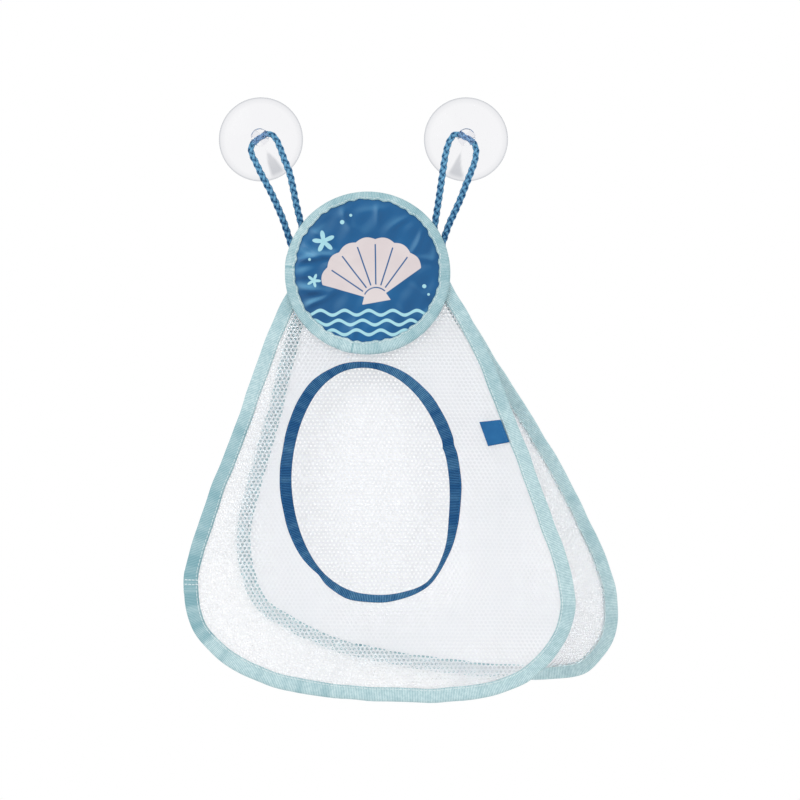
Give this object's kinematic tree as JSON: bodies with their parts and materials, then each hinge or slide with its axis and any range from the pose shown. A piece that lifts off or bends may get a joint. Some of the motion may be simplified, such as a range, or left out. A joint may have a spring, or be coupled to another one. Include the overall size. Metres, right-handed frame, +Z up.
{
  "type": "bath toy organizer",
  "caption": "Hanging net bag for bath toys with an oval front opening, held on a wall by suction cups and cord loops, with a round badge at its top.",
  "frame": {"origin": "on the wall plane, midway between the centres of the two suction cups", "axes": "+X to the right as seen from the room, +Y into the wall, +Z up"},
  "size_m": [0.3058, 0.0606, 0.4261],
  "materials": {
    "clear_pvc": "clear soft PVC, polished",
    "blue_cord": "braided polyester cord",
    "coated_cloth": "coated polyester, slightly creased",
    "padding": "thin foam interlining",
    "teal_tape": "ribbed grosgrain tape",
    "white_net": "fine hexagonal polyester net",
    "blue_ribbon": "ribbed grosgrain ribbon",
    "spring_wire": "drawn spring steel wire"
  },
  "bodies": {
    "left_cup": {"left_suction_cup": "clear_pvc"},
    "bag": {"left_cord_loop": "blue_cord", "right_cord_loop": "blue_cord", "badge_face": "coated_cloth", "badge_padding": "padding", "badge_backing": "coated_cloth", "badge_binding": "teal_tape", "front_net": "white_net", "front_binding": "teal_tape", "front_hoop": "spring_wire", "front_hoop_ferrule": "spring_wire", "opening_binding": "blue_ribbon"},
    "right_cup": {"right_suction_cup": "clear_pvc"},
    "rear_panel": {"rear_net": "white_net", "rear_binding": "teal_tape", "rear_hoop": "spring_wire", "rear_hoop_ferrule": "spring_wire", "gusset_net": "white_net"},
    "side_tag": {"side_tag": "blue_ribbon"}
  },
  "joints": [
    {"name": "bag_swing", "type": "hinge", "parent": "left_cup", "child": "bag", "pos_m": [-0.0732, -0.012, 0], "axis": [-1, 0, 0], "range_deg": [0, 90], "deforming": ["left_cord_loop", "right_cord_loop"]},
    {"name": "right_cup_pivot", "type": "hinge", "parent": "bag", "child": "right_cup", "pos_m": [0.0732, -0.012, 0], "axis": [-1, 0, 0], "range_deg": [-90, 0]},
    {"name": "rear_fold", "type": "hinge", "parent": "bag", "child": "rear_panel", "pos_m": [0.0032, -0.0037, -0.0742], "axis": [-1, 0, 0], "range_deg": [0, 8], "deforming": ["gusset_net"]},
    {"name": "tag_flip", "type": "hinge", "parent": "bag", "child": "side_tag", "pos_m": [0.0994, -0.03435, -0.20799], "axis": [-0.3552, 0.1303, 0.9257], "range_deg": [0, 130]}
  ],
  "couplings": [
    {"joint": "right_cup_pivot", "follows": "bag_swing", "ratio": -1}
  ]
}
